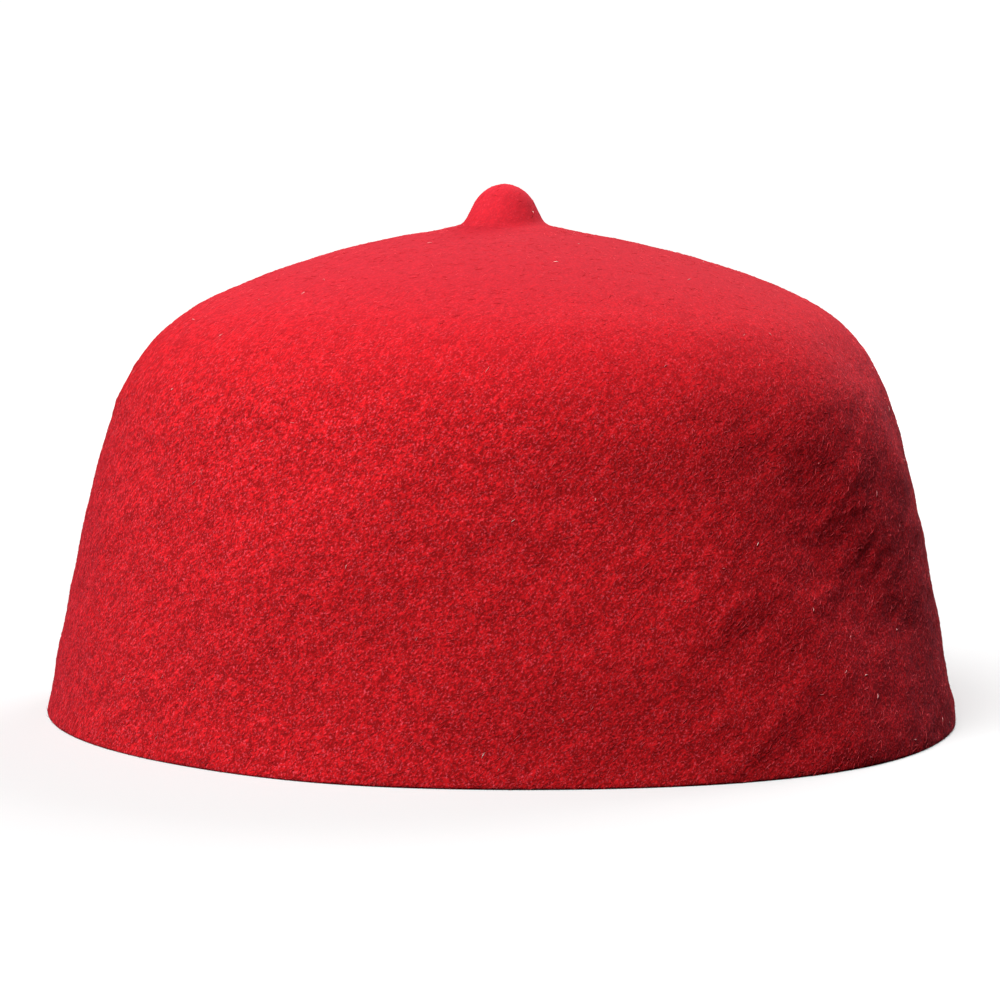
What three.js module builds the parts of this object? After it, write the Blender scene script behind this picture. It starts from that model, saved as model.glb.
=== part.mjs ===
// A fez cap blocked from one piece of wool felt: a tapered side wall, a soft shoulder, a low domed top and a small
// hollow peak drawn up in its middle. The rim is a plain cut edge and the inside is bare felt.
// Millimetres, +Z up. The rim rests on z = 0 round the Z axis, and the front of the cap faces -Y.
import * as THREE from "three";
import { mergeVertices } from "three/addons/utils/BufferGeometryUtils.js";

// Driving dimensions
const RIM_RADIUS = 95; // outside of the cut edge
const CROWN_HEIGHT = 102.7; // where the domed top would close without its peak
const FELT_THICKNESS = 2.6;
const PEAK_RADIUS = 8.7; // where the peak leaves the domed top
const PEAK_HEIGHT = 8.6; // from that circle to the peak's end

// Facets of the felt's two faces
const SEGMENTS = 72; // round the axis
const RINGS_PER_SECTION = 2; // on each face

const FELT_RED = "#c3232d";

// Sections of the crown's outer face, from the rim to the foot of the peak. Height and radius are shares of
// CROWN_HEIGHT and RIM_RADIUS. Drift is how far the hand-pulled felt stands towards +X there, in millimetres.
const CROWN_SECTIONS = [
  { height: 0.0, radius: 1.0, drift: 0 },
  { height: 0.25, radius: 0.949, drift: -0.1 },
  { height: 0.515, radius: 0.887, drift: -0.2 },
  { height: 0.625, radius: 0.852, drift: -0.1 },
  { height: 0.7, radius: 0.815, drift: 0.2 },
  { height: 0.76, radius: 0.769, drift: 0.6 },
  { height: 0.81, radius: 0.71, drift: 1.2 },
  { height: 0.865, radius: 0.599, drift: 1.8 },
  { height: 0.918, radius: 0.446, drift: 1.4 },
  { height: 0.963, radius: 0.255, drift: 0.2 },
  { height: 0.985, radius: 0.13, drift: -0.4 },
];

// Sections of the peak, as shares of PEAK_HEIGHT and PEAK_RADIUS
const PEAK_SECTIONS = [
  { height: 0.05, radius: 0.99 },
  { height: 0.33, radius: 0.82 },
  { height: 0.6, radius: 0.68 },
  { height: 0.84, radius: 0.46 },
  { height: 0.96, radius: 0.22 },
  { height: 1.0, radius: 0 },
];
const PEAK_DRIFT = -0.7;

// Soft folds that blocking and storage have left in the wall. Each lies along a line between two places on the wall,
// given as an azimuth in degrees from the front towards +X and a height, and fades out at both. Rise is outwards.
const FOLDS = {
  sideHollow: { from: [22, 72], to: [74, 13], rise: -2.5, halfWidth: 14 },
  sideRidge: { from: [66, 64], to: [80, 40], rise: 0.9, halfWidth: 7 },
  sideRimSwell: { from: [14, 5], to: [74, 0], rise: 1.3, halfWidth: 12 },
  frontRimHollow: { from: [-18, 8], to: [30, 0], rise: -1, halfWidth: 11 },
  leftRimSwell: { from: [-42, 0], to: [-2, 0], rise: 0.8, halfWidth: 8 },
  leftSwell: { from: [-50, 22], to: [0, 62], rise: 1.8, halfWidth: 17 },
  frontHollow: { from: [-4, 62], to: [30, 36], rise: -1.4, halfWidth: 16 },
  shoulderHollow: { from: [50, 88], to: [86, 66], rise: -1, halfWidth: 9 },
};

// The outer face's profile as a curve of x = radius, y = drift, z = height.
function outerProfile() {
  const crown = CROWN_SECTIONS.map(
    ({ height, radius, drift }) => new THREE.Vector3(radius * RIM_RADIUS, drift, height * CROWN_HEIGHT),
  );
  const peakFoot = crown.at(-1).z + (crown.at(-1).x - PEAK_RADIUS) * domeSlope(crown);
  const peak = PEAK_SECTIONS.map(
    ({ height, radius }) => new THREE.Vector3(radius * PEAK_RADIUS, PEAK_DRIFT, peakFoot + height * PEAK_HEIGHT),
  );
  return new THREE.CatmullRomCurve3([...crown, ...peak], false, "centripetal");
}

// How fast the domed top rises towards the axis at its last section.
function domeSlope(crown) {
  const [before, last] = crown.slice(-2);
  return (last.z - before.z) / (before.x - last.x);
}

// One ring of the wall for each sample of the profile: its outer point, and the inner one a felt's thickness below it.
function wallRings() {
  const profile = outerProfile();
  const count = RINGS_PER_SECTION * (CROWN_SECTIONS.length + PEAK_SECTIONS.length - 1);
  return Array.from({ length: count + 1 }, (_, i) => {
    const outer = profile.getPoint(i / count);
    const run = profile.getTangent(i / count);
    const inward = new THREE.Vector2(-run.z, run.x).normalize();
    const inner = new THREE.Vector2(outer.x, outer.z).addScaledVector(inward, FELT_THICKNESS);
    if (i === 0) inner.set(inner.x + (inner.y * run.x) / -run.z, 0); // the cut edge is level
    if (i === count) inner.x = 0;
    return { outer: new THREE.Vector2(outer.x, outer.z), inner, drift: outer.y };
  });
}

// A place on the wall, unrolled at the rim's radius.
function unrolled([azimuth, height]) {
  return new THREE.Vector2(THREE.MathUtils.degToRad(azimuth) * RIM_RADIUS, height);
}

// How far the folds push the felt outwards at a place on the wall.
function foldRise(azimuth, height) {
  return Object.values(FOLDS).reduce((sum, fold) => {
    const start = unrolled(fold.from);
    const run = unrolled(fold.to).sub(start);
    const place = unrolled([azimuth, height]).sub(start);
    const along = THREE.MathUtils.clamp(place.dot(run) / run.lengthSq(), 0, 1);
    const across = place.cross(run) / run.length() / fold.halfWidth;
    return sum + fold.rise * Math.sin(Math.PI * along) ** 2 * Math.exp(-across * across);
  }, 0);
}

// The felt's closed surface: a lathe of both faces and the cut edge, then each ring's drift and the folds.
function feltGeometry() {
  const rings = wallRings();
  const inside = rings.map(({ inner, drift }) => ({ point: inner, drift })).reverse();
  const outside = rings.map(({ outer, drift }) => ({ point: outer, drift }));
  const loop = [...inside, ...outside];
  const lathe = new THREE.LatheGeometry(
    loop.map(({ point }) => point),
    SEGMENTS,
  ).rotateX(Math.PI / 2);
  const place = lathe.getAttribute("position");
  for (let i = 0; i < place.count; i++) {
    const x = place.getX(i);
    const y = place.getY(i);
    const radius = Math.hypot(x, y);
    const azimuth = THREE.MathUtils.radToDeg(Math.atan2(x, -y));
    const swell = radius > 0 ? 1 + foldRise(azimuth, place.getZ(i)) / radius : 1;
    place.setXY(i, x * swell + loop[i % loop.length].drift, y * swell);
  }
  lathe.deleteAttribute("normal");
  lathe.deleteAttribute("uv");
  const closed = mergeVertices(lathe);
  closed.computeVertexNormals();
  return closed;
}

const feltCap = new THREE.Mesh(
  feltGeometry(),
  new THREE.MeshStandardMaterial({ color: FELT_RED, roughness: 0.95, metalness: 0 }),
);
feltCap.name = "felt_cap";

const fezCap = new THREE.Group();
fezCap.add(feltCap);

export default fezCap;
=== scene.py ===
"""A fez cap of blocked red wool felt on a pale studio sweep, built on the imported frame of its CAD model.

Sizes in the tables are millimetres, and the scene is in metres, as the frame is.
The front of the cap faces -Y.
"""

import math

import bmesh
import bpy
import numpy as np
from mathutils import Matrix, Vector, noise


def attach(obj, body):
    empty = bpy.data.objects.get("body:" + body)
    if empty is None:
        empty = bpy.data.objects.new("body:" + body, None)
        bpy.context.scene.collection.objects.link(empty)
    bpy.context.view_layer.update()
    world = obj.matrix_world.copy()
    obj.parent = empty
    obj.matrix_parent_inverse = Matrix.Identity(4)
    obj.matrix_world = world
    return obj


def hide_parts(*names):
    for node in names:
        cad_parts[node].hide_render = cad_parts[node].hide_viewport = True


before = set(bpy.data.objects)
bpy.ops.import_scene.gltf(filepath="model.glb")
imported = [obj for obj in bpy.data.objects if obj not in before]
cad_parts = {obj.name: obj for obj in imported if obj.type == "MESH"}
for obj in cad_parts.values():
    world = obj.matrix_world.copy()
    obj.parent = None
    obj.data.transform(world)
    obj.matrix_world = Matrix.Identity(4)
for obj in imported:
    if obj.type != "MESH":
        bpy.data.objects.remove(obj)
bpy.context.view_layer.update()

MM = 0.001

# Driving dimensions, as in the CAD model
RIM_RADIUS = 95.0
CROWN_HEIGHT = 102.7
FELT_THICKNESS = 2.6
PEAK_RADIUS = 8.7
PEAK_HEIGHT = 8.6
PEAK_DRIFT = -0.7

# Sections of the felt's outer face from the rim to the foot of the peak. Height and radius are shares of
# CROWN_HEIGHT and RIM_RADIUS, and drift is how far the hand-pulled felt stands towards +X.
CROWN_SECTIONS = (
    {"height": 0.0, "radius": 1.0, "drift": 0.0},
    {"height": 0.25, "radius": 0.949, "drift": -0.1},
    {"height": 0.515, "radius": 0.887, "drift": -0.2},
    {"height": 0.625, "radius": 0.852, "drift": -0.1},
    {"height": 0.7, "radius": 0.815, "drift": 0.2},
    {"height": 0.76, "radius": 0.769, "drift": 0.6},
    {"height": 0.81, "radius": 0.71, "drift": 1.2},
    {"height": 0.865, "radius": 0.599, "drift": 1.8},
    {"height": 0.918, "radius": 0.446, "drift": 1.4},
    {"height": 0.963, "radius": 0.255, "drift": 0.2},
    {"height": 0.985, "radius": 0.13, "drift": -0.4},
)

# Sections of the peak, as shares of PEAK_HEIGHT and PEAK_RADIUS
PEAK_SECTIONS = (
    {"height": 0.05, "radius": 0.99},
    {"height": 0.33, "radius": 0.82},
    {"height": 0.6, "radius": 0.68},
    {"height": 0.84, "radius": 0.46},
    {"height": 0.96, "radius": 0.22},
    {"height": 1.0, "radius": 0.0},
)

# Soft folds that blocking and storage have left in the wall. Each lies along a line between two places on
# the wall, given as an azimuth in degrees from the front towards +X and a height, and fades out at both.
# Rise is outwards.
FOLDS = {
    "side_hollow": {"start": (22, 72), "end": (74, 13), "rise": -2.5, "half_width": 14},
    "side_ridge": {"start": (66, 64), "end": (80, 40), "rise": 0.9, "half_width": 7},
    "side_rim_swell": {"start": (14, 5), "end": (74, 0), "rise": 1.3, "half_width": 12},
    "front_rim_hollow": {"start": (-18, 8), "end": (30, 0), "rise": -1.0, "half_width": 11},
    "left_rim_swell": {"start": (-42, 0), "end": (-2, 0), "rise": 0.8, "half_width": 8},
    "left_swell": {"start": (-50, 22), "end": (0, 62), "rise": 1.8, "half_width": 17},
    "front_hollow": {"start": (-4, 62), "end": (30, 36), "rise": -1.4, "half_width": 16},
    "shoulder_hollow": {"start": (50, 88), "end": (86, 66), "rise": -1.0, "half_width": 9},
}

# Crinkles of the felt's face, coarse to fine: lump size, rise, and how far a lump leans as it goes up
CRINKLES = (
    {"size": 14.0, "rise": 0.42, "lean": 0.5},
    {"size": 8.0, "rise": 0.27, "lean": 0.5},
    {"size": 5.0, "rise": 0.15, "lean": 0.3},
    {"size": 2.6, "rise": 0.1, "lean": 0.5},
)

# How much of their rise the crinkles have: it differs between patches of this size, and there is more of
# it low on the handled side
CRINKLE_PATCH = {"size": 26.0, "usual": 0.7, "least": 0.3, "most": 1.2}
CRUMPLED = {"azimuth": 58, "half_width": 38, "from": 40, "to": 66, "extra": 0.25}

SMOOTH_FROM, SMOOTH_TO = 67.0, 92.0  # between these heights the rough wall gives way to the smooth top
SMOOTH_SHARE = 0.25  # how rough the top is beside the wall
SWELL_SIZE = 34.0  # slow swells under the crinkles
SWELL_RISE = 0.25
RIM_FADE = 2.0  # the cut edge stays level below this height

# The felt's mesh is spun in bands, so that its facets stay near one size from the rim to the peak.
OUTER_SPACING = 0.95
OUTER_BANDS = ((60.0, 560), (30.0, 280), (12.0, 140), (0.0, 70))  # least radius, facets round
INNER_SPACING = 2.0
INNER_BANDS = ((42.0, 190), (12.0, 90), (0.0, 40))
SLICES = 10  # each band is a tenth of a turn, copied round
SEAM = 0.02  # vertices closer than this are one
LINE_FINENESS = 8  # trial points on a smooth line for each point that it keeps
RIM_SOFTNESS = 0.5  # rounding of the cut edge's outer corner
RIM_FACETS = 3  # across the cut edge, and round its corner

# Wool fibres that lie on the felt, in pieces of NAP["count"], and pale lint that has settled among them.
# Wool is about 0.03 thick, and these are drawn thicker so that they show.
NAP_PIECES = 2
NAP = {
    "count": 16000,
    "length": (0.8, 3.0),
    "width": (0.05, 0.09),
    "rise": (0.02, 0.08),
    "sway": 0.4,
    "stations": 2,
}
LINT = {
    "count": 130,
    "length": (0.3, 1.8),
    "width": (0.1, 0.2),
    "rise": (0.05, 0.15),
    "sway": 0.3,
    "stations": 3,
}
FIBRE_SEED = 7
FIBRE_SINK = 0.06  # how deep a fibre's ends are in the felt
HOLLOW_MIDDLE = (0.0, 0.0, CROWN_HEIGHT / 3)  # what faces away from here is outside the cap
FIBRES_INSIDE = 0.1  # how dense fibres are inside the cap and on its top, beside the wall's outer face
FIBRES_ON_TOP = 0.4
FIBRE_LEAN = 0.6  # how strongly fibres are combed up towards the right
FIBRE_FADING = 2.5  # the higher it is, the fewer fibres are pale
FIBRE_SIDES = 3
CELL_EDGE = 0.1  # of each fibre's cell in the UV map

# Matted fibres in the felt's face, as strokes along the diagonals of a cube: their length and width, and
# the ways that they lean, as degrees round from +X. At the front they lean up to the right. Strokes and
# the pale strands are drawn some ten times as wide as wool is, so that they show, and fibres gather in
# wider clumps.
STROKE_CLIMB = math.atan(math.sqrt(0.5))
STROKES = {"length": 1.3, "width": 0.42, "ways": (45, 315), "detail": 1.0}
STRANDS = {"length": 0.5, "width": 0.36, "ways": (45, 315), "detail": 0.0}
STRAND_FROM, STRAND_TO = 0.64, 1.0  # of the noise, from no strand to a full one
CLUMPS = {"length": 4.5, "width": 1.3, "ways": (45, 315), "detail": 1.0}
CLUMP_SHARE = 0.5  # how strongly clumps show beside strokes
GRAIN_FROM, GRAIN_TO = 0.73, 1.06  # of strokes and clumps together, from the darkest felt to the lightest
GRAIN_DEPTH = 0.06  # how deep the wall's grain is

# The dye where the felt is smooth, with painted light in it: lighter on the shoulder and palest on the
# peak, where light falls on the top
SMOOTH_DYES_AND_PAINTED_LIGHT = (
    {"height": 76, "colour": "#d8202a"},
    {"height": 90, "colour": "#be212d"},
    {"height": 101, "colour": "#b9222f"},
    {"height": 105, "colour": "#d22b39"},
)

# The camera, in metres and degrees, with its lens in millimetres
CAMERA_PLACE = (0.0, -0.7467, 0.12)
CAMERA_TARGET = (0.0, 0.0, 0.05)
CAMERA_ROLL = 0.7
CAMERA_LENS = 128.9
CAMERA_SHIFT = (-0.0045, -0.0269)

# Soft boxes, in metres, aimed at the middle of the cap. Azimuth is counted from the front towards +X.
BOX_WIDTH = 0.7
BOX_DISTANCE = 1.4
BOXES = {
    "key_box": {"azimuth": -30, "elevation": 55, "watts": 26.5},
    "left_box": {"azimuth": -90, "elevation": 2, "watts": 11.5},
    "back_box": {"azimuth": 150, "elevation": 40, "watts": 15},
}

# The paper sweep: a round floor that curves up into a wall, in metres
SWEEP_FLOOR = 1.6
SWEEP_CURVE = 1.2
SWEEP_TOP = 3.0
SWEEP_FACETS = 96
SWEEP_CURVE_FACETS = 12
# The paper's painted glow: its emission strength by distance from the middle of the cap
PAPER_GLOW = {"near": 0.2, "far": 1.4, "least": 0.45, "most": 0.96}  # brighter far from the cap

# Mix node sockets for colours
MIX_FACTOR, MIX_A, MIX_B, MIX_RESULT = 0, 6, 7, 2


def linear(hex_colour):
    """An sRGB hex colour as the linear RGBA that Blender's sockets take."""
    channels = [int(hex_colour[i : i + 2], 16) / 255 for i in (1, 3, 5)]
    return (*(c / 12.92 if c <= 0.04045 else ((c + 0.055) / 1.055) ** 2.4 for c in channels), 1.0)


def add_node(tree, kind, inputs=None, **settings):
    """Adds a node. A setting is one of its properties, and an input is a value or an output to link."""
    node = tree.nodes.new(kind)
    for name, value in settings.items():
        setattr(node, name, value)
    for key, value in (inputs or {}).items():
        if isinstance(value, bpy.types.NodeSocket):
            tree.links.new(value, node.inputs[key])
        else:
            node.inputs[key].default_value = value
    return node


def new_material(name, finish):
    """A node material with only its Principled shader, and what its surface has all over."""
    material = bpy.data.materials.new(name)
    material.use_nodes = True
    tree = material.node_tree
    shader = tree.nodes["Principled BSDF"]
    for socket, value in finish.items():
        shader.inputs[socket].default_value = value
    return material, tree, shader


def show(name, mesh):
    """Puts a mesh in the scene as an object at the origin."""
    piece = bpy.data.objects.new(name, mesh)
    bpy.context.scene.collection.objects.link(piece)
    return piece


def show_bmesh(name, bm):
    """Puts a bmesh in the scene as a smooth-shaded object at the origin."""
    for face in bm.faces:
        face.smooth = True
    mesh = bpy.data.meshes.new(name)
    bm.to_mesh(mesh)
    bm.free()
    return show(name, mesh)


# The felt's shape


def outer_sections():
    """Rows of height, radius and drift up the outer face, from the rim to the end of the peak."""
    crown = [(s["height"] * CROWN_HEIGHT, s["radius"] * RIM_RADIUS, s["drift"]) for s in CROWN_SECTIONS]
    (height_before, radius_before, _), (height, radius, _) = crown[-2:]
    slope = (height - height_before) / (radius_before - radius)
    foot = height + (radius - PEAK_RADIUS) * slope
    peak = [
        (foot + s["height"] * PEAK_HEIGHT, s["radius"] * PEAK_RADIUS, PEAK_DRIFT) for s in PEAK_SECTIONS
    ]
    return np.array(crown + peak)


def smooth_line(points, spacing):
    """A smooth line through the points, with a new point every `spacing` along it."""
    chord = np.linalg.norm(np.diff(points, axis=0), axis=1)
    at = np.concatenate([[0], np.cumsum(chord)])
    slope = np.gradient(points, at, axis=0)
    fine = np.linspace(0, at[-1], int(at[-1] / spacing) * LINE_FINENESS)
    k = np.clip(np.searchsorted(at, fine, side="right") - 1, 0, len(chord) - 1)
    t = ((fine - at[k]) / chord[k])[:, None]
    reach = chord[k][:, None]
    line = (
        (1 + 2 * t) * (1 - t) ** 2 * points[k]
        + t * (1 - t) ** 2 * reach * slope[k]
        + t * t * (3 - 2 * t) * points[k + 1]
        + t * t * (t - 1) * reach * slope[k + 1]
    )
    return evenly(line, spacing)


def evenly(line, spacing):
    """The line with its points moved to an even spacing."""
    travel = np.concatenate([[0], np.cumsum(np.linalg.norm(np.diff(line, axis=0), axis=1))])
    stops = np.linspace(0, travel[-1], max(2, round(travel[-1] / spacing) + 1))
    return np.stack([np.interp(stops, travel, column) for column in line.T], axis=1)


def felt_lines(sections):
    """The outer face's line of radius and height with the cut edge before it, and the inner face's line."""
    outer = smooth_line(sections[:, [1, 0]], OUTER_SPACING)
    outer[-1, 0] = 0
    run = np.gradient(outer, axis=0)
    run /= np.linalg.norm(run, axis=1)[:, None]
    inner = outer + FELT_THICKNESS * np.stack([-run[:, 1], run[:, 0]], axis=1)
    inner[-1, 0] = 0
    edge = np.interp(0, inner[:, 1], inner[:, 0])
    inner = evenly(np.concatenate([[[edge, 0]], inner[inner[:, 1] > OUTER_SPACING / 2]]), INNER_SPACING)
    rim = np.linspace((edge, 0), outer[0], RIM_FACETS + 1)
    return np.concatenate([rim[:-1], outer]), inner[1:]


def spin_band(bm, line, steps):
    """Spins one stretch of a line round the Z axis: first a slice, then copies of the slice."""
    band = bmesh.new()
    verts = [band.verts.new((0, -radius * MM, height * MM)) for radius, height in line]
    edges = [band.edges.new(pair) for pair in zip(verts, verts[1:])]
    slice_turn = math.tau / SLICES
    bmesh.ops.spin(band, geom=verts + edges, axis=(0, 0, 1), angle=slice_turn, steps=steps // SLICES)
    bmesh.ops.spin(
        band,
        geom=[*band.verts, *band.edges, *band.faces],
        axis=(0, 0, 1),
        angle=math.tau - slice_turn,
        steps=SLICES - 1,
        use_duplicate=True,
    )
    bmesh.ops.remove_doubles(band, verts=band.verts, dist=SEAM * MM)
    mesh = bpy.data.meshes.new("band")
    band.to_mesh(mesh)
    band.free()
    bm.from_mesh(mesh)
    bpy.data.meshes.remove(mesh)


def ring_edges(bm, point):
    """The edges on the circle that a line's point of radius and height has drawn."""
    radius, height = np.array(point) * MM
    return [
        e
        for e in bm.edges
        if all(math.hypot(math.hypot(*v.co.xy) - radius, v.co.z - height) < SEAM * MM for v in e.verts)
    ]


def spin_bands(bm, line, bands):
    """Spins a line in bands, with fewer facets nearer the axis, and joins each to the one before."""
    start = 0
    for least_radius, steps in bands:
        stop = int(np.argmax(line[:, 0] <= least_radius))
        spin_band(bm, line[start : stop + 1], steps)
        if start:
            bmesh.ops.bridge_loops(bm, edges=ring_edges(bm, line[start - 1]) + ring_edges(bm, line[start]))
        start = stop + 1


def unrolled(azimuth, height):
    """Places on the wall, unrolled at the rim's radius."""
    return np.stack([np.radians(azimuth) * RIM_RADIUS, height], axis=-1)


def fold_rise(azimuth, height):
    """How far the folds push the felt outwards at each place."""
    total = np.zeros_like(height)
    for fold in FOLDS.values():
        start = unrolled(*fold["start"])
        run = unrolled(*fold["end"]) - start
        place = unrolled(azimuth, height) - start
        along = np.clip(place @ run / (run @ run), 0, 1)
        across = place @ (run[1], -run[0]) / np.linalg.norm(run) / fold["half_width"]
        total += fold["rise"] * np.sin(np.pi * along) ** 2 * np.exp(-across * across)
    return total


def azimuths(places):
    """Degrees round the cap at each place, from the front towards +X."""
    return np.degrees(np.arctan2(places[:, 0], -places[:, 1]))


def lumps(places, size):
    """Blender's Perlin noise at each place, with lumps of about the given size."""
    return np.array([noise.noise(Vector(p)) for p in places / size])


def leaning(places, lean):
    """The places turned about the axis as they go up, so that noise on them leans that way on the wall."""
    radius = np.hypot(places[:, 0], places[:, 1])
    travel = places[:, 2] - radius
    turn = np.arctan2(places[:, 1], places[:, 0]) - lean / RIM_RADIUS * travel
    return np.stack([radius * np.cos(turn), radius * np.sin(turn), travel], axis=1)


def felt_relief(places):
    """How far the felt's face stands out at each place: slow swells, and crinkles, fainter on top."""
    height = places[:, 2]
    from_crumpled = (azimuths(places) - CRUMPLED["azimuth"]) / CRUMPLED["half_width"]
    patch = CRINKLE_PATCH["usual"] + lumps(places, CRINKLE_PATCH["size"])
    patch = np.clip(patch, CRINKLE_PATCH["least"], CRINKLE_PATCH["most"])
    low = np.interp(height, (CRUMPLED["from"], CRUMPLED["to"]), (1, 0))
    patch += CRUMPLED["extra"] * low * np.exp(-from_crumpled * from_crumpled)
    rough = np.interp(height, (SMOOTH_FROM, SMOOTH_TO), (1, SMOOTH_SHARE))
    crinkles = sum(c["rise"] * lumps(leaning(places, c["lean"]), c["size"]) for c in CRINKLES)
    swell = SWELL_RISE * lumps(places, SWELL_SIZE)
    return (swell + patch * rough * crinkles) * np.clip(height / RIM_FADE, 0, 1)


def coordinates(bm):
    """The bmesh's vertex places and normals, in millimetres."""
    bm.normal_update()
    places = np.array([v.co for v in bm.verts]) / MM
    normals = np.array([v.normal for v in bm.verts])
    return places, normals


def set_places(bm, places):
    """Moves the bmesh's vertices to places in millimetres."""
    for vert, place in zip(bm.verts, places * MM):
        vert.co = place


def make_felt():
    """The cap's one piece of felt: both faces and the cut edge as one closed mesh."""
    sections = outer_sections()
    outer, inner = felt_lines(sections)
    bm = bmesh.new()
    spin_bands(bm, outer, OUTER_BANDS)
    spin_bands(bm, inner, INNER_BANDS)
    bmesh.ops.remove_doubles(bm, verts=bm.verts, dist=SEAM * MM)
    bmesh.ops.bridge_loops(bm, edges=[e for e in bm.edges if e.is_boundary])
    bmesh.ops.recalc_face_normals(bm, faces=bm.faces)
    bmesh.ops.bevel(
        bm,
        geom=ring_edges(bm, (RIM_RADIUS, 0)),
        offset=RIM_SOFTNESS * MM,
        offset_type="OFFSET",
        affect="EDGES",
        segments=RIM_FACETS,
        profile=0.5,
        material=-1,
    )
    places, _ = coordinates(bm)
    radius = np.hypot(places[:, 0], places[:, 1])
    height = places[:, 2].copy()
    folded = fold_rise(azimuths(places), height) / np.maximum(radius, PEAK_RADIUS)
    places[:, :2] *= 1 + folded[:, None]
    places[:, 0] += np.interp(height, sections[:, 0], sections[:, 2])
    set_places(bm, places)
    places, normals = coordinates(bm)
    places += normals * felt_relief(places)[:, None]
    places[:, 2] = np.maximum(places[:, 2], 0)
    set_places(bm, places)
    # The operators list faces in no fixed order, so a quad could be split another way in another run.
    bmesh.ops.triangulate(bm, faces=bm.faces, quad_method="SHORT_EDGE")
    return show_bmesh("felt", bm)


# Fibres on the felt


def read(items, name, kind):
    """One property of every item, three numbers each."""
    values = np.empty(len(items) * 3, kind)
    items.foreach_get(name, values)
    return values.reshape(-1, 3)


def felt_spots(felt, count, rng):
    """Random spots on the felt with the normals there, fewer of them on top and inside the cap."""
    mesh = felt.data
    mesh.calc_loop_triangles()
    corners = np.sort(read(mesh.loop_triangles, "vertices", np.int32), axis=1)
    corners = corners[np.lexsort(corners.T)]  # the same order in every run
    places = read(mesh.vertices, "co", np.float32) / MM
    normals = read(mesh.vertex_normals, "vector", np.float32)
    a, b, c = places[corners.T]
    area = np.linalg.norm(np.cross(b - a, c - a), axis=1) / 2
    centre = (a + b + c) / 3
    outside = (normals[corners].sum(axis=1) * (centre - HOLLOW_MIDDLE)).sum(axis=1) > 0
    density = np.interp(centre[:, 2], (SMOOTH_FROM, SMOOTH_TO), (1, FIBRES_ON_TOP))
    share = area * np.where(outside, density, FIBRES_INSIDE)
    chosen = rng.choice(len(corners), count, p=share / share.sum())
    u, v = rng.random((2, count))
    over = u + v > 1
    u[over], v[over] = 1 - u[over], 1 - v[over]
    weights = np.stack([1 - u - v, u, v], axis=1)[:, :, None]
    spots = (places[corners[chosen]] * weights).sum(axis=1)
    standing = (normals[corners[chosen]] * weights).sum(axis=1)
    return spots, standing / np.linalg.norm(standing, axis=1)[:, None]


def spindle_faces(stations):
    """The triangles of one fibre: a point, its rings of vertices and another point."""
    rings = [[1 + FIBRE_SIDES * s + k for k in range(FIBRE_SIDES)] for s in range(stations)]
    last = 1 + FIBRE_SIDES * stations
    faces = []
    for k in range(FIBRE_SIDES):
        n = (k + 1) % FIBRE_SIDES
        faces.append((0, rings[0][n], rings[0][k]))
        faces.append((last, rings[-1][k], rings[-1][n]))
        for near, far in zip(rings, rings[1:]):
            faces += [(near[k], near[n], far[n]), (near[k], far[n], far[k])]
    return np.array(faces)


def fibre_cells(count, spots):
    """UV places that give each fibre a cell of its own, with its vertices at the given spots in it."""
    across = math.ceil(math.sqrt(count))
    cells = np.stack(np.divmod(np.arange(count), across), axis=1)
    inset = CELL_EDGE + (1 - 2 * CELL_EDGE) * np.array(spots)
    return (cells[:, None, :] + inset) / across


def make_fibres(felt, name, kind, rng):
    """A joined mesh of fibres that lie on the felt, each a bent spindle with its two ends in it."""
    count = kind["count"]
    spots, up = felt_spots(felt, count, rng)
    along = np.cross(up, rng.normal(size=up.shape))
    along /= np.linalg.norm(along, axis=1)[:, None]
    rightwards = np.cross((0, 0, 1), up)
    combed = rightwards + np.cross(up, rightwards)
    along += FIBRE_LEAN * np.where((along * combed).sum(axis=1) > 0, 1, -1)[:, None] * combed
    along /= np.linalg.norm(along, axis=1)[:, None]
    side = np.cross(up, along)
    length, width, rise = (rng.uniform(*kind[size], (count, 1)) for size in ("length", "width", "rise"))
    sway = rng.uniform(-kind["sway"], kind["sway"], (count, 1))
    turns = [math.pi / 2 + math.tau * k / FIBRE_SIDES for k in range(FIBRE_SIDES)]
    places, cell_spots = [], []
    for station in np.linspace(-1, 1, kind["stations"] + 2):
        arch = 1 - station * station
        middle = spots + station * length / 2 * along + arch * sway * side
        middle += (arch * rise - (1 - arch) * FIBRE_SINK) * up
        ring = turns if arch > 0 else turns[:1]
        for k, turn in enumerate(ring):
            places.append(middle + arch * width / 2 * (math.cos(turn) * side + math.sin(turn) * up))
            cell_spots.append(((station + 1) / 2, k / (FIBRE_SIDES - 1)))
    places = np.stack(places, axis=1)
    places[:, :, 2] = np.maximum(places[:, :, 2], 0)
    corners = places.shape[1]
    faces = (np.arange(count)[:, None, None] * corners + spindle_faces(kind["stations"])).reshape(-1, 3)
    mesh = bpy.data.meshes.new(name)
    mesh.from_pydata(places.reshape(-1, 3) * MM, [], faces)
    cells = fibre_cells(count, cell_spots).reshape(-1, 2)[faces.ravel()]
    mesh.uv_layers.new(name="OFBake").data.foreach_set("uv", cells.ravel())
    shade = np.repeat(rng.random(count) ** FIBRE_FADING, corners)
    mesh.attributes.new("wool_shade", "FLOAT", "POINT").data.foreach_set("value", shade)
    mesh.polygons.foreach_set("use_smooth", np.ones(len(faces), bool))
    mesh.update()
    return show(name, mesh)


# Finishes


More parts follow.
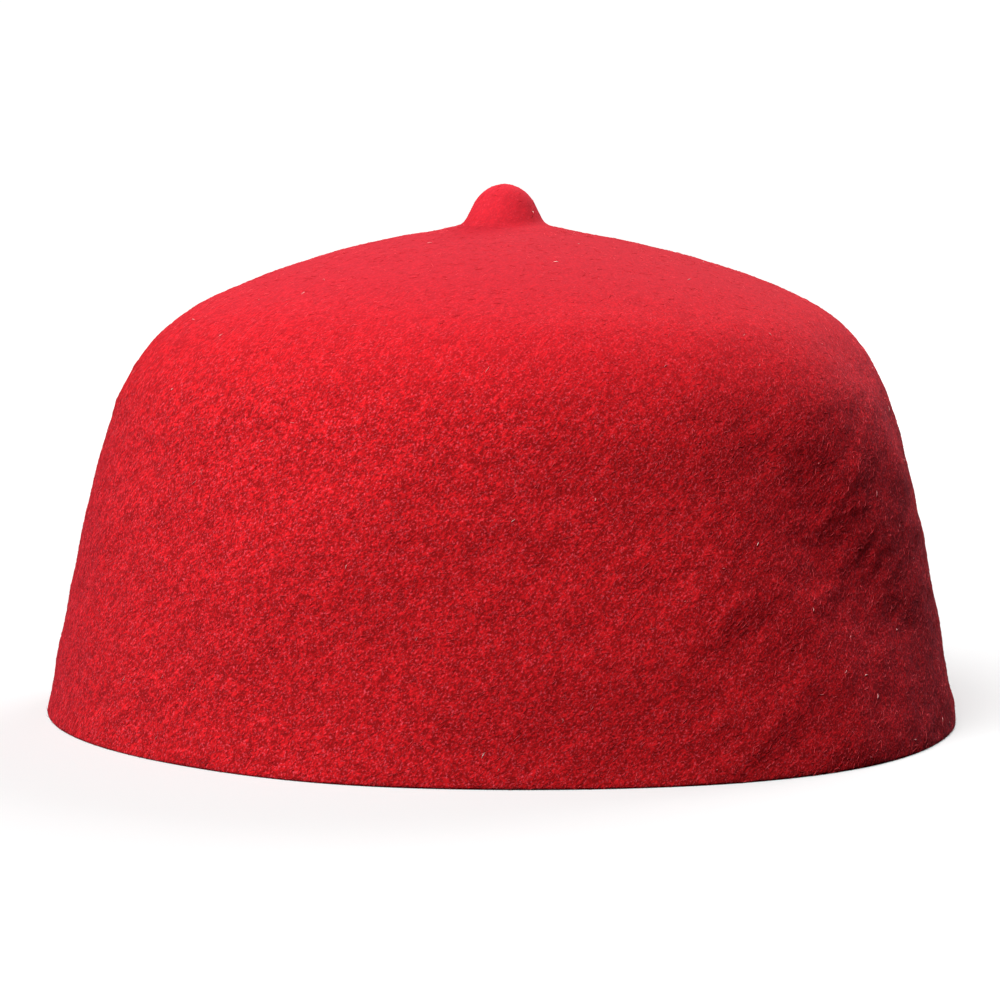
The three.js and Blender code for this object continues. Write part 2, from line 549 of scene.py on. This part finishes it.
def matted_strokes(tree, where, kind):
    """Matted fibres, drawn as the highest of a few noises that are each stretched along a diagonal."""
    highest = 0.0
    for way in kind["ways"]:
        laid = add_node(
            tree,
            "ShaderNodeMapping",
            {
                "Vector": where,
                "Rotation": (0, -STROKE_CLIMB, math.radians(way)),
                "Scale": Vector((kind["length"], kind["width"], kind["width"])) * MM,
            },
            vector_type="TEXTURE",
        ).outputs["Vector"]
        layer = add_node(
            tree, "ShaderNodeTexNoise", {"Vector": laid, "Scale": 1.0, "Detail": kind["detail"]}
        ).outputs["Fac"]
        highest = add_node(tree, "ShaderNodeMath", {0: highest, 1: layer}, operation="MAXIMUM").outputs[0]
    return highest


def wool_felt():
    """Dyed wool felt, blocked and napped: dull, with a fine matted grain and a soft bloom at a slant."""
    finish = {
        "Roughness": 0.95,
        "Specular IOR Level": 0.08,
        "Sheen Weight": 0.05,
        "Sheen Roughness": 0.5,
        "Sheen Tint": linear("#ff80b8"),
    }
    material, tree, shader = new_material("dyed_wool_felt", finish)
    where = add_node(tree, "ShaderNodeTexCoord").outputs["Object"]
    height = add_node(tree, "ShaderNodeSeparateXYZ", {"Vector": where}).outputs["Z"]
    rough = add_node(
        tree,
        "ShaderNodeMapRange",
        {
            "Value": height,
            "From Min": SMOOTH_FROM * MM,
            "From Max": SMOOTH_TO * MM,
            "To Min": 1.0,
            "To Max": SMOOTH_SHARE,
        },
    ).outputs["Result"]
    strokes = matted_strokes(tree, where, STROKES)
    clumps = matted_strokes(tree, where, CLUMPS)
    matted = add_node(
        tree, "ShaderNodeMath", {0: clumps, 1: CLUMP_SHARE, 2: strokes}, operation="MULTIPLY_ADD"
    ).outputs[0]
    grain = add_node(
        tree, "ShaderNodeMapRange", {"Value": matted, "From Min": GRAIN_FROM, "From Max": GRAIN_TO}
    ).outputs["Result"]
    grained = add_node(
        tree,
        "ShaderNodeMix",
        {MIX_FACTOR: grain, MIX_A: linear("#981013"), MIX_B: linear("#f01f27")},
        data_type="RGBA",
    ).outputs[MIX_RESULT]
    strands = matted_strokes(tree, where, STRANDS)
    pale = add_node(
        tree, "ShaderNodeMapRange", {"Value": strands, "From Min": STRAND_FROM, "From Max": STRAND_TO}
    ).outputs["Result"]
    wall = add_node(
        tree,
        "ShaderNodeMix",
        {MIX_FACTOR: pale, MIX_A: grained, MIX_B: linear("#ff5666")},
        data_type="RGBA",
    ).outputs[MIX_RESULT]
    low, high = SMOOTH_DYES_AND_PAINTED_LIGHT[0]["height"], SMOOTH_DYES_AND_PAINTED_LIGHT[-1]["height"]
    climb = add_node(
        tree, "ShaderNodeMapRange", {"Value": height, "From Min": low * MM, "From Max": high * MM}
    ).outputs["Result"]
    smooth = add_node(tree, "ShaderNodeValToRGB", {"Fac": climb})
    stops = smooth.color_ramp.elements
    for shade in SMOOTH_DYES_AND_PAINTED_LIGHT[1:-1]:
        stops.new((shade["height"] - low) / (high - low))
    for stop, shade in zip(stops, SMOOTH_DYES_AND_PAINTED_LIGHT):
        stop.color = linear(shade["colour"])
    # The smooth top's colour holds painted light: the shoulder and the peak are painted lighter than the
    # dye.
    felt_dye_and_painted_light = add_node(
        tree,
        "ShaderNodeMix",
        {MIX_FACTOR: rough, MIX_A: smooth.outputs["Color"], MIX_B: wall},
        data_type="RGBA",
    )
    relief = add_node(tree, "ShaderNodeMath", {0: grain, 1: rough}, operation="MULTIPLY").outputs[0]
    bump = add_node(
        tree, "ShaderNodeBump", {"Height": relief, "Strength": 1.0, "Distance": GRAIN_DEPTH * MM}
    )
    tree.links.new(felt_dye_and_painted_light.outputs[MIX_RESULT], shader.inputs["Base Color"])
    tree.links.new(bump.outputs["Normal"], shader.inputs["Normal"])
    return material


def wool_fibre(name, dark, light):
    """Single wool fibres: smoother than the felt under them, each of its own shade from dark to light."""
    material, tree, shader = new_material(name, {"Roughness": 0.8, "Specular IOR Level": 0.1})
    shade = add_node(tree, "ShaderNodeAttribute", attribute_name="wool_shade").outputs["Fac"]
    colour = add_node(
        tree,
        "ShaderNodeMix",
        {MIX_FACTOR: shade, MIX_A: linear(dark), MIX_B: linear(light)},
        data_type="RGBA",
    )
    tree.links.new(colour.outputs[MIX_RESULT], shader.inputs["Base Color"])
    return material


# The studio


def place_camera():
    """The camera at the photograph's angle."""
    lens = bpy.data.cameras.new("studio_camera")
    lens.lens = CAMERA_LENS
    lens.shift_x, lens.shift_y = CAMERA_SHIFT
    camera = bpy.data.objects.new("studio_camera", lens)
    bpy.context.scene.collection.objects.link(camera)
    look = Vector(CAMERA_TARGET) - Vector(CAMERA_PLACE)
    turn = look.to_track_quat("-Z", "Y").to_matrix() @ Matrix.Rotation(math.radians(CAMERA_ROLL), 3, "Z")
    camera.location = CAMERA_PLACE
    camera.rotation_euler = turn.to_euler()
    bpy.context.scene.camera = camera


def add_box(name, azimuth, elevation, watts):
    """A square soft box aimed at the middle of the cap."""
    lamp = bpy.data.lights.new(name, "AREA")
    lamp.size = BOX_WIDTH
    lamp.energy = watts
    box = bpy.data.objects.new(name, lamp)
    bpy.context.scene.collection.objects.link(box)
    turn, climb = math.radians(azimuth), math.radians(elevation)
    away = Vector((math.sin(turn) * math.cos(climb), -math.cos(turn) * math.cos(climb), math.sin(climb)))
    box.location = Vector(CAMERA_TARGET) + BOX_DISTANCE * away
    box.rotation_euler = (-away).to_track_quat("-Z", "Y").to_euler()


def make_sweep():
    """A round sheet of white paper, a floor that curves up into a wall all round, far from the cap."""
    curve = [math.pi / 2 * k / SWEEP_CURVE_FACETS for k in range(SWEEP_CURVE_FACETS + 1)]
    line = [(0, 0)]
    line += [(SWEEP_FLOOR + SWEEP_CURVE * math.sin(a), SWEEP_CURVE * (1 - math.cos(a))) for a in curve]
    line += [(SWEEP_FLOOR + SWEEP_CURVE, SWEEP_TOP)]
    bm = bmesh.new()
    verts = [bm.verts.new((radius, 0, height)) for radius, height in line]
    edges = [bm.edges.new(pair) for pair in zip(verts, verts[1:])]
    bmesh.ops.spin(
        bm, geom=verts + edges, axis=(0, 0, 1), angle=math.tau, steps=SWEEP_FACETS, use_merge=True
    )
    bmesh.ops.remove_doubles(bm, verts=bm.verts, dist=MM)
    bmesh.ops.recalc_face_normals(bm, faces=bm.faces)
    sweep = show_bmesh("studio_sweep", bm)
    sweep.data.materials.append(glowing_white_paper())
    # The paper's own light stays off the cap, whose shaded side is dark.
    sweep.visible_diffuse = False
    sweep.visible_glossy = False


def glowing_white_paper():
    """Matt white paper with a painted glow of its own, brighter away from the cap so that its far side is
    plain white.
    """
    finish = {
        "Base Color": linear("#a8a8a8"),
        "Roughness": 0.9,
        "Emission Color": linear("#ffffff"),
    }
    material, tree, shader = new_material("glowing_white_paper", finish)
    where = add_node(tree, "ShaderNodeTexCoord").outputs["Object"]
    away = add_node(tree, "ShaderNodeVectorMath", {0: where}, operation="LENGTH").outputs["Value"]
    glow = add_node(
        tree,
        "ShaderNodeMapRange",
        {
            "Value": away,
            "From Min": PAPER_GLOW["near"],
            "From Max": PAPER_GLOW["far"],
            "To Min": PAPER_GLOW["least"],
            "To Max": PAPER_GLOW["most"],
        },
    )
    # Painted light: the paper glows, more strongly away from the cap.
    tree.links.new(glow.outputs["Result"], shader.inputs["Emission Strength"])
    return material


def light_studio():
    """Soft light from the upper left, from the left and from behind on the right."""
    world = bpy.data.worlds.new("studio")
    bpy.context.scene.world = world
    world.use_nodes = True
    world.node_tree.nodes["Background"].inputs["Strength"].default_value = 0.0
    for name, box in BOXES.items():
        add_box(name, **box)
    bpy.context.scene.view_settings.view_transform = "Standard"


place_camera()
light_studio()
make_sweep()

felt = make_felt()
felt.data.materials.append(wool_felt())
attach(felt, "root")
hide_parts("felt_cap")

rng = np.random.default_rng(FIBRE_SEED)
dyed_fibre = wool_fibre("dyed_wool_fibre", "#c01e26", "#ff5c64")
undyed_fibre = wool_fibre("undyed_wool_fibre", "#e07a7c", "#ffe0d8")
fibres = [(f"nap_{number + 1}", NAP, dyed_fibre) for number in range(NAP_PIECES)]
for name, kind, material in [*fibres, ("lint", LINT, undyed_fibre)]:
    piece = make_fibres(felt, name, kind, rng)
    piece.data.materials.append(material)
    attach(piece, "root")
